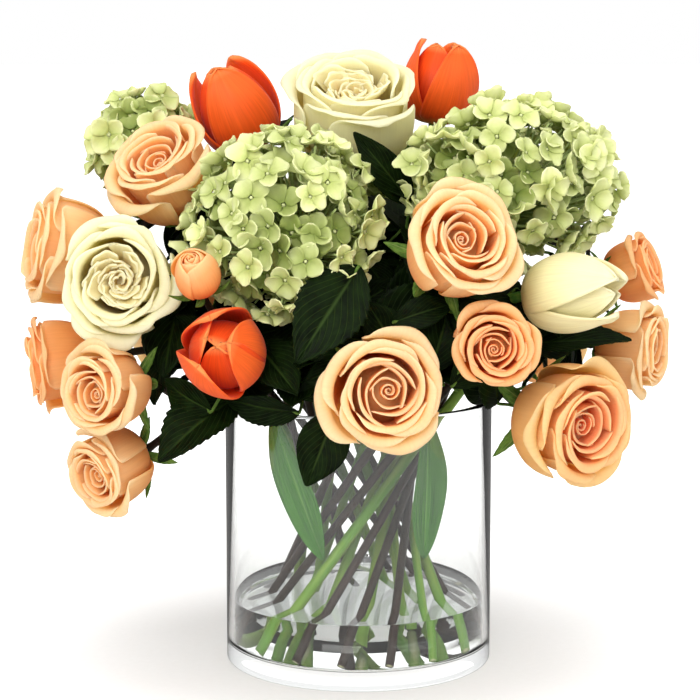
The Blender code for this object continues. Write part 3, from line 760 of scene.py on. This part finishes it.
def smoothed(points, steps=6):
    """A smooth curve through the points."""
    p = np.array([list(q) for q in points])
    p = np.concatenate([2 * p[:1] - p[1:2], p, 2 * p[-1:] - p[-2:-1]])
    made = []
    for n in range(1, len(p) - 2):
        for t in np.arange(steps) / steps:
            a, b, c, d = p[n - 1 : n + 3]
            bent = (2 * a - 5 * b + 4 * c - d) * t * t + (3 * b - a - 3 * c + d) * t ** 3
            made.append(0.5 * (2 * b + (c - a) * t + bent))
    return np.array(made + [p[-2]])


def stem_paths():
    """Each stem's centre line, as the CAD stems run, and the line of each side branch."""
    paths, branches = {}, {}
    for heads, foot_r, rim_r, twist in (
        (OUTER, INNER_R - 0.007, INNER_R - 0.012, OUTER_TWIST),
        (INNER, INNER_R * 0.50, INNER_R * 0.46, INNER_TWIST),
    ):
        slots = ring_slots(heads)
        for head in heads:
            rim = around(rim_r, slots[head.name], VASE_H + 0.006)
            foot = around(foot_r, slots[head.name] - math.radians(twist), BASE)
            lean = (rim - foot).normalized()
            foot.z += GAP * 2 + STEM_D[head.kind] / 2 * math.hypot(lean.x, lean.y)
            end = head.neck - head.way * STRAIGHT
            reach = (head.neck - rim).length
            bend = [rim, rim + lean * reach * 0.30, end - head.way * reach * 0.30, end]
            bend = bezier(bend, np.arange(1, 6) / 5)
            cut = foot + lean * GAP
            line = [cut, foot.lerp(rim, 0.33), foot.lerp(rim, 0.67), rim, *map(Vector, bend), head.neck]
            paths[head.name] = line + [head.neck + head.way * 0.003]
            for side in SIDE:
                if side.parent == head.name:
                    start = line[6]
                    first = start.lerp(side.neck, 0.35) + Vector((0, 0, 0.004))
                    last = [side.neck - side.way * 0.012, side.neck + side.way * 0.003]
                    branches[head.name] = [start, first, *last]
    return paths, branches


# ---------------------------------------------------------------- leaves
def leaf(shells, root, tip, face, width, bow, rng, toothed=False, petiole=None, fine=1):
    """A blade from root to tip with a folded midrib, side veins, a toothed or plain edge and a stalk."""
    root, tip, face = Vector(root), Vector(tip), Vector(face)
    along = tip - root
    length = along.length
    y = along.normalized()
    x = y.cross(face).normalized()
    z = x.cross(y)
    u, v = grid(17 * fine, 40 * fine)
    half = width / 2 * (0.05 + 0.95 * np.sin(np.pi * np.clip(v, 0, 1) ** 0.85) ** 0.9)
    if toothed:
        teeth = 13
        saw = (v * teeth) % 1.0
        half = half * (1 + 0.10 * (saw - 0.3) * np.abs(u) ** 6 * (v > 0.08))
    side = u * half
    ribs = np.abs(((v - 0.42 * np.abs(u)) * 8) % 1.0 - 0.5)
    quilt = -0.012 * width * np.exp(-((ribs / 0.12) ** 2)) * (np.abs(u) < 0.95) * np.abs(u) ** 0.3
    groove = 0.03 * width * np.exp(-((u / 0.06) ** 2))
    lift = 0.20 * np.abs(u) * half + bow * np.sin(np.pi * v) - groove + quilt
    lift = lift + 0.03 * width * np.sin(9 * v + rng.uniform(0, 6)) * u ** 2
    points = np.array(root) + side[..., None] * np.array(x) + (v * length)[..., None] * np.array(y)
    points = points + lift[..., None] * np.array(z)
    shells.sheet(points, 0.0007, tagged(v, u, 0.5, rng.random()), edge=0.5)
    if petiole is not None:
        end = root + y * length * 0.08
        start = Vector(petiole)
        middle = (start + root) / 2 - z * 0.002
        shells.tube(smoothed([start, middle, root, end], 4), 0.0009, sides=7, look=1, chance=rng.random())


# ---------------------------------------------------------------- vase and water
def lathe(name, profile, steps, look):
    """A closed solid of revolution from (radius, height) points, the first and last on the axis."""
    shells = Shells()
    inner = np.array(profile[1:-1])
    turns = np.arange(steps) * 2 * np.pi / steps
    points = np.stack([np.outer(inner[:, 0], np.cos(turns)), np.outer(inner[:, 0], np.sin(turns)),
                       np.outer(inner[:, 1], np.ones(steps))], -1).reshape(-1, 3)
    points = np.concatenate([points, [(0, 0, profile[0][1]), (0, 0, profile[-1][1])]])
    shells.take(points, *turned_faces(len(inner), steps), np.full((len(points), 4), 0.5), 0)
    return shells.build(name, [look])


def rounded(points, radius, steps=6):
    """The polyline with its inner corners rounded."""
    made = [points[0]]
    for a, b, c in zip(points, points[1:], points[2:]):
        a, b, c = np.array(a, float), np.array(b, float), np.array(c, float)
        cut = min(radius, np.linalg.norm(a - b) / 2.01, np.linalg.norm(c - b) / 2.01)
        p = b + (a - b) / np.linalg.norm(a - b) * cut
        q = b + (c - b) / np.linalg.norm(c - b) * cut
        for t in np.linspace(0, 1, steps):
            made.append(tuple(p * (1 - t) ** 2 + b * 2 * t * (1 - t) + q * t * t))
    return made + [points[-1]]


# ---------------------------------------------------------------- materials
PEACH = petal_material(
    "rose_peach",
    [(0.30, (0.99, 0.40, 0.08)), (0.62, (0.99, 0.55, 0.17)), (0.84, (0.99, 0.67, 0.31))],
    [(0.25, (0.98, 0.56, 0.18)), (0.58, (0.99, 0.70, 0.33)), (0.84, (0.99, 0.79, 0.46))],
    (0.99, 0.86, 0.60), rim_at=0.80, thin=0.62,
)
CORAL = petal_material(
    "rose_coral_heart",
    [(0.30, (0.99, 0.30, 0.12)), (0.62, (0.99, 0.43, 0.20)), (0.84, (0.99, 0.54, 0.31))],
    [(0.25, (0.95, 0.58, 0.16)), (0.58, (0.97, 0.69, 0.28)), (0.84, (0.98, 0.76, 0.38))],
    (0.98, 0.80, 0.46), rim_at=0.82, thin=0.62,
)
DEEP_PEACH = petal_material(
    "rose_deep_peach",
    [(0.30, (0.98, 0.26, 0.04)), (0.62, (0.99, 0.40, 0.09)), (0.84, (0.99, 0.53, 0.19))],
    [(0.25, (0.97, 0.38, 0.08)), (0.58, (0.98, 0.56, 0.19)), (0.84, (0.99, 0.66, 0.30))],
    (0.99, 0.74, 0.42), rim_at=0.80, thin=0.60,
)
GARDEN = petal_material(
    "garden_rose_cream",
    [(0.25, (0.86, 0.56, 0.14)), (0.60, (0.92, 0.82, 0.46)), (0.86, (0.94, 0.90, 0.62))],
    [(0.25, (0.80, 0.78, 0.36)), (0.55, (0.93, 0.90, 0.60)), (0.86, (0.95, 0.93, 0.70))],
    (0.97, 0.95, 0.76), streak=0.04, thin=0.60, ribbed=0.12,
)
# Its rim colour, a lighter orange at the petal tips and edges, is a painted highlight.
TULIP = petal_material(
    "tulip_scarlet",
    [(0.10, (0.30, 0.05, 0.01)), (0.40, (0.55, 0.022, 0.004)), (0.80, (0.95, 0.11, 0.012))],
    [(0.05, (0.85, 0.30, 0.03)), (0.25, (0.93, 0.11, 0.010)), (0.75, (0.98, 0.175, 0.025))],
    (0.99, 0.36, 0.10), rim_at=0.90, roughness=0.44, streak=0.18, thin=0.40, gloss=0.2, ribbed=0.2,
)
TULIP_WHITE = petal_material(
    "tulip_white",
    [(0.10, (0.42, 0.46, 0.12)), (0.45, (0.76, 0.72, 0.34)), (0.85, (0.86, 0.80, 0.48))],
    [(0.05, (0.30, 0.36, 0.08)), (0.28, (0.78, 0.74, 0.36)), (0.75, (0.88, 0.82, 0.52))],
    (0.92, 0.88, 0.62), roughness=0.42, streak=0.12, thin=0.32,
)
# Its first ramp is darker green and goes to the deeper florets: painted shade between the florets.
LIME = petal_material(
    "hydrangea_lime",
    [(0.05, (0.16, 0.24, 0.03)), (0.45, (0.28, 0.36, 0.07)), (0.90, (0.40, 0.48, 0.12))],
    [(0.05, (0.58, 0.65, 0.20)), (0.45, (0.80, 0.84, 0.38)), (0.90, (0.88, 0.90, 0.54))],
    (0.86, 0.88, 0.48), streak=0.04, thin=0.30, ribbed=0.1,
)
LEAF = leaf_material(
    "leaf_dark", (0.0012, 0.0035, 0.0005), (0.007, 0.019, 0.0022), (0.040, 0.075, 0.014), roughness=0.50,
)
BLADE = leaf_material(
    "tulip_blade", (0.010, 0.070, 0.008), (0.085, 0.270, 0.035), (0.20, 0.44, 0.10), ribs=16.0, parallel=True,
)
SEPAL = leaf_material("sepal_green", (0.04, 0.10, 0.015), (0.15, 0.26, 0.045), (0.30, 0.36, 0.12), roughness=0.5)
BROWN = stem_material("stem_brown", (0.020, 0.012, 0.006), (0.013, 0.014, 0.004), (0.026, 0.012, 0.008))
GREEN = stem_material("stem_green", (0.11, 0.26, 0.025), (0.05, 0.17, 0.025), (0.20, 0.31, 0.05))
STALK = stem_material("floret_stalk", (0.30, 0.42, 0.12), (0.50, 0.62, 0.24), (0.42, 0.52, 0.18))
ANTHER = stem_material("anther_dark", (0.10, 0.08, 0.03), (0.02, 0.012, 0.015), (0.03, 0.01, 0.02))
GLASS = clear_material("vase_glass", 1.50, (0.985, 0.995, 0.992), 0.02)
WATER = clear_material("vase_water", 1.33, (0.985, 0.995, 0.992), 0.05)


# ---------------------------------------------------------------- assembly
def build_heads():
    for n, head in enumerate(HEADS):
        rng = np.random.default_rng(100 + n)
        shells = Shells()
        if head.kind == "rose":
            rose(shells, head.size, rng, 1.15 if "left_" in head.name and "spray" not in head.name else 1.0)
        elif head.kind == "bud":
            rose_bud(shells, head.size, rng)
        elif head.kind == "garden":
            garden_rose(shells, head.size, rng)
        elif head.kind == "tulip":
            tulip(shells, head.size, rng, *TULIP_FORMS.get(head.name, (0.24, 0.74, 0.30)))
        else:
            hydrangea(shells, head.size, rng, head.kind.endswith("wide"))
        looks, slot = {
            "rose": ([PEACH, SEPAL], "rose_petal"),
            "bud": ([DEEP_PEACH, SEPAL], "rose_petal_deep"),
            "garden": ([GARDEN, SEPAL], "garden_rose_petal"),
            "tulip": ([TULIP, STALK, ANTHER], "tulip_petal"),
            "hydrangea": ([LIME, STALK], "hydrangea_floret"),
            "hydrangea_wide": ([LIME, STALK], "hydrangea_floret"),
        }[head.kind]
        if head.name in DEEP:
            looks, slot = [DEEP_PEACH, SEPAL], "rose_petal_deep"
        if head.name == "rose_right_low":
            looks = [CORAL, SEPAL]
        if head.name == "tulip_white":
            looks, slot = [TULIP_WHITE, STALK, ANTHER], "white_tulip_petal"
        mounted(shells.build(head.name + "_bloom", looks, head.matrix), slot, head.name)


def build_stems(paths, branches):
    for n, head in enumerate(OUTER + INNER):
        rng = np.random.default_rng(400 + n)
        shells = Shells()
        radius = STEM_D[head.kind] / 2
        path = smoothed(paths[head.name], 8)
        node_at = rng.uniform(0.1, 0.9, 3)
        brown = head.kind in ("rose", "bud")

        def bulge(along, turns, spots=node_at, knots=0.16 if brown else 0.05):
            swell = sum(math.exp(-(((along - spot) / 0.012) ** 2)) for spot in spots) * knots
            return np.ones(len(turns)) * (1 + swell) + 0.03 * np.cos(3 * turns + along * 9)

        radii = np.linspace(1.0, 0.92, len(path)) * radius
        shells.tube(path, radii, 12, chance=rng.random(), cut=True, bulge=bulge)
        if head.name in branches:
            shells.tube(smoothed(branches[head.name], 8), radius * 0.8, 10, chance=rng.random())
        stem = shells.build(head.name + "_stalk", [BROWN if brown else GREEN])
        mounted(stem, "rose_stem" if brown else "green_stem", head.name + "_stem")


class Foliage:
    """Leaves that grow on the nearest stem and keep clear of every flower head."""

    def __init__(self, paths):
        self.centres = np.array([head.centre for head in HEADS])
        self.radii = np.array([head.size * (0.50 if head.kind != "bud" else 0.42) for head in HEADS])
        self.lines = {name: smoothed(path, 6)[18:] for name, path in paths.items()}
        self.grown = {}

    def fits(self, spine, wing, low):
        """Whether a blade along spine, wing wide each way, misses the heads, the rim and the glass."""
        probes = np.concatenate([spine, spine + wing, spine - wing])
        gaps = np.linalg.norm(probes[:, None] - self.centres[None], axis=2) - self.radii[None]
        near_glass = (np.hypot(*probes[:, :2].T) < VASE_R + 0.004) & (probes[:, 2] < VASE_H + 0.004)
        return gaps.min() > 0.0015 and probes[:, 2].min() > low and not near_glass.any()

    def grow(self, spine, face, length, broad, bow, rng):
        root = spine[0]
        nearest = ((name, line[np.linalg.norm(line - root, axis=1).argmin()]) for name, line in self.lines.items())
        name, at = min(nearest, key=lambda item: np.linalg.norm(item[1] - root))
        leaf(self.grown.setdefault(name, Shells()), root, spine[-1], face, length * broad, length * bow, rng,
             rng.random() < 0.8, at)

    def layer(self, count, shares, lengths, broads, rng):
        """Leaves spread evenly over the dome, each at the first of the shares of its depth where it fits."""
        middle = np.array([0, 0, VASE_H + 0.022])
        arms = self.centres - middle
        reaches = np.linalg.norm(arms, axis=1)
        for n in range(count):
            up = 0.96 - 1.36 * (n + 0.5) / count
            bearing = n * GOLDEN
            flat = math.sqrt(1 - up * up)
            way = np.array([math.cos(bearing) * flat, math.sin(bearing) * flat, up])
            weight = np.exp(14 * (arms @ way / reaches - 1))
            limit = (weight * reaches).sum() / weight.sum()
            side = np.cross(way, (0.1, 0.2, 1.0) if abs(up) < 0.9 else (1.0, 0.0, 0.0))
            side /= np.linalg.norm(side)
            spin = rng.uniform(0, 6.28)
            run = math.cos(spin) * side + math.sin(spin) * np.cross(way, side) + way * rng.uniform(0.1, 0.6)
            run /= np.linalg.norm(run)
            length, broad = rng.uniform(*lengths), rng.uniform(*broads)
            wing = np.cross(run, way) * length * broad * 0.42
            for share in shares:
                spine = middle + way * limit * share + run * np.linspace(-0.5, 0.5, 7)[:, None] * length
                if self.fits(spine, wing, VASE_H - 0.006):
                    face = Vector(way) + Vector(rng.normal(0, 0.25, 3))
                    self.grow(spine, face, length, broad, rng.uniform(0.02, 0.09), rng)
                    break

    def collar(self, count, rng):
        """Leaves that lean out over the rim."""
        for n in range(count):
            bearing = n * GOLDEN
            out = np.array([math.cos(bearing), math.sin(bearing), 0])
            across = np.array([-out[1], out[0], 0]) * rng.uniform(-0.7, 0.7)
            length, broad = rng.uniform(0.036, 0.052), rng.uniform(0.52, 0.66)
            for start in np.arange(0.058, 0.020, -0.006):
                root = out * start + np.array([0, 0, VASE_H + rng.uniform(0.006, 0.026)])
                run = out + across + np.array([0, 0, rng.uniform(-0.10, 0.6)])
                run /= np.linalg.norm(run)
                spine = root + run * np.linspace(0, 1, 7)[:, None] * length
                if self.fits(spine, np.cross(run, (0, 0, 1)) * length * broad * 0.42, VASE_H + 0.003):
                    face = Vector((0, 0, 1)) + Vector(out) * 0.5
                    self.grow(spine, face, length, broad, rng.uniform(0.05, 0.14), rng)
                    break


def grow_foliage(paths):
    """An outer layer of leaves closes the dome, a deeper one backs it, and a collar hides the rim."""
    rng = np.random.default_rng(900)
    foliage = Foliage(paths)
    foliage.layer(230, np.arange(0.96, 0.30, -0.06), (0.034, 0.056), (0.50, 0.66), rng)
    foliage.layer(110, np.arange(0.66, 0.24, -0.06), (0.046, 0.064), (0.58, 0.72), rng)
    foliage.collar(72, rng)
    for name, shells in foliage.grown.items():
        mounted(shells.build(name + "_foliage", [LEAF, SEPAL]), "leaf")


def from_rim(x, y, z):
    return Vector((x, y, z)) * 0.001 + Vector((0, 0, VASE_H))


def build_leaves():
    # Root and way in mm from the rim's middle, facing, shares for length, width and bow, stalk's start, toothed.
    dome = [
        ("leaf_front_large", (0, -98, 84), (-32, -23, -47), (0, -1, 0.3), 0.93, 0.59, 0.05, (2, -78, 66), True),
        ("leaf_top", (29, -42, 112), (-32, -16, 40), (0, -1, 0.3), 0.81, 0.37, 0.04, (26, -32, 96), False),
        ("leaf_right", (84, -52, 36), (64, -6, 4), (0, -0.4, 1), 0.97, 0.45, 0.02, (64, -46, 32), True),
        ("leaf_left_low", (-66, -64, 10), (-40, -30, -30), (-0.2, -0.6, 0.8), 0.88, 0.62, 0.05, (-52, -50, 12), True),
        ("leaf_rim_front", (-12, -84, 6), (-16, -6, -40), (0, -1, 0), 0.66, 0.64, 0.05, (-8, -66, 16), False),
        ("leaf_back", (-36, 76, 8), (-22, 48, -16), (-0.4, 0.6, 0.7), 0.84, 0.66, 0.05, (-26, 60, 12), True),
    ]
    for n, (name, root, way, face, length, width, bow, petiole, toothed) in enumerate(dome):
        rng = np.random.default_rng(700 + n)
        shells = Shells()
        length *= LEAF_L
        root = from_rim(*root)
        tip = root + Vector(way).normalized() * length
        leaf(shells, root, tip, face, length * width, length * bow, rng, toothed, from_rim(*petiole), fine=2)
        mounted(shells.build(name + "_blade", [LEAF, SEPAL]), "leaf", name)
    inside = [
        ("tulip_leaf_left", (-0.66, -0.60), (-0.27, -0.50)),
        ("tulip_leaf_right", (0.52, -0.66), (0.50, -0.46)),
    ]
    for n, (name, top, bottom) in enumerate(inside):
        shells = Shells()
        root = Vector((bottom[0] * INNER_R, bottom[1] * INNER_R, VASE_H * 0.42))
        tip = Vector((top[0] * INNER_R, top[1] * INNER_R, VASE_H * 0.985))
        out = Vector((root.x + tip.x, root.y + tip.y, 0))
        leaf(shells, root, tip, out, BLADE_W, 0.001, np.random.default_rng(720 + n))
        mounted(shells.build(name + "_blade", [BLADE]), "leaf", name)


def build_vase():
    r = VASE_R
    outside = rounded([(INNER_R, VASE_H - 0.02), (INNER_R, VASE_H), (r, VASE_H), (r, 0), (0, 0)], 0.0016)
    inside = rounded([(0, BASE), (INNER_R, BASE), (INNER_R, VASE_H - 0.02)], 0.004)
    vase = lathe("vase_glass", inside[:-1] + outside[1:], 192, GLASS)
    mounted(vase, "vase_glass", "vase")
    # The water climbs the glass by 1 mm at its rim.
    w, top = WATER_R, WATER_Z
    climb = [(0.003, 0), (0.0010, 0.0002), (0.0003, 0.0006), (0, 0.0010)]
    climb = [(0, top)] + [(w - inward, top + up) for inward, up in climb]
    below = rounded([(w, top), (w, WATER_LOW), (0, WATER_LOW)], 0.004)[1:]
    mounted(lathe("vase_water", climb + below, 192, WATER), "water", "water")


def build_stage():
    bpy.ops.mesh.primitive_plane_add(size=60, location=(0, 0, -0.0002))
    floor = bpy.context.object
    floor.name = "floor"
    n = Nodes("floor_paper")
    grain = n.noise(n.place(), 260.0, 4.0)
    colour = n.ramp(grain, [(0.3, (0.82, 0.812, 0.80)), (0.7, (0.84, 0.832, 0.822))])
    away = n.node("ShaderNodeVectorMath", operation="LENGTH")
    n.link(n.place(), away.inputs[0])
    # Painted light: from 0.10 m off the vase's axis outward the floor glows, up to 0.55, so it reads white. Diffuse
    # and mirrored rays don't get the glow.
    glow = n.spread(away.outputs["Value"], 0.0, 0.55, 0.10, 0.36, "SMOOTHSTEP")
    rays = n.node("ShaderNodeLightPath")
    mirrored = n.mirrored(rays)
    dark = n.math("MAXIMUM", rays.outputs["Is Diffuse Ray"], mirrored)
    # Painted reflection: in mirrored rays the floor is near black, so the glass shows a dark reflection of it.
    colour = n.mix(n.math("MULTIPLY", mirrored, 0.75), colour, (0.03, 0.03, 0.03))
    n.set(
        Base_Color=colour, Roughness=n.spread(grain, 0.5, 0.62), Normal=n.bump(grain, 0.04, 0.0003),
        Emission_Strength=n.math("MULTIPLY", glow, n.math("SUBTRACT", 1.0, dark)),
    )
    n.shader.inputs["Emission Color"].default_value = (1, 1, 1, 1)
    floor.data.materials.append(n.owner)


def build_world():
    """White to the camera. As light it is stronger from above, and dimmer in mirrored rays."""
    n = Nodes("studio", bpy.data.worlds)
    bpy.context.scene.world = n.owner
    seen, lights = n.tree.nodes["Background"], n.node("ShaderNodeBackground")
    seen.inputs["Color"].default_value = lights.inputs["Color"].default_value = (1, 1, 1, 1)
    heading = n.node("ShaderNodeSeparateXYZ")
    n.link(n.node("ShaderNodeTexCoord").outputs["Generated"], heading.inputs[0])
    height = n.math("MULTIPLY_ADD", heading.outputs["Y"], 0.15, heading.outputs["Z"])
    sky = n.spread(height, 0.72, 1.05, -0.45, 0.35, "SMOOTHSTEP")
    rays = n.node("ShaderNodeLightPath")
    dimmer = n.math("MULTIPLY_ADD", n.mirrored(rays), -0.65, 1.0)
    n.link(n.math("MULTIPLY", sky, dimmer), lights.inputs["Strength"])
    n.blend(rays.outputs["Is Camera Ray"], lights, seen, "World Output")


def aimed(name, data, place, at):
    """A lamp or camera at a place, looking at a point."""
    obj = bpy.data.objects.new(name, data)
    obj.location = place
    obj.rotation_euler = (Vector(at) - obj.location).to_track_quat("-Z", "Y").to_euler()
    bpy.context.scene.collection.objects.link(obj)
    return obj


def build_lights_and_camera():
    for name, place, size, power, colour in (
        ("key", (-0.45, -1.5, 1.05), 1.0, 23, (1, 0.99, 0.97)),
        ("top", (0.1, -0.1, 1.7), 1.2, 10, (1, 1, 1)),
        ("fill", (1.3, -1.0, 0.8), 1.0, 7, (0.98, 0.99, 1)),
    ):
        data = bpy.data.lights.new(name, "AREA")
        data.energy = power
        data.size = size
        data.color = colour
        aimed(name, data, place, (0, 0, 0.2))
    camera = bpy.data.cameras.new("camera")
    camera.lens = 109.543
    camera.sensor_width = 36
    bpy.context.scene.camera = aimed("camera", camera, (-0.0048, -1.2, 0.352), (-0.0048, 0, 0.178))
    bpy.context.scene.view_settings.view_transform = "Standard"


build_stage()
build_world()
build_lights_and_camera()
build_vase()
build_heads()
stems, side_stems = stem_paths()
build_stems(stems, side_stems)
build_leaves()
grow_foliage(stems)
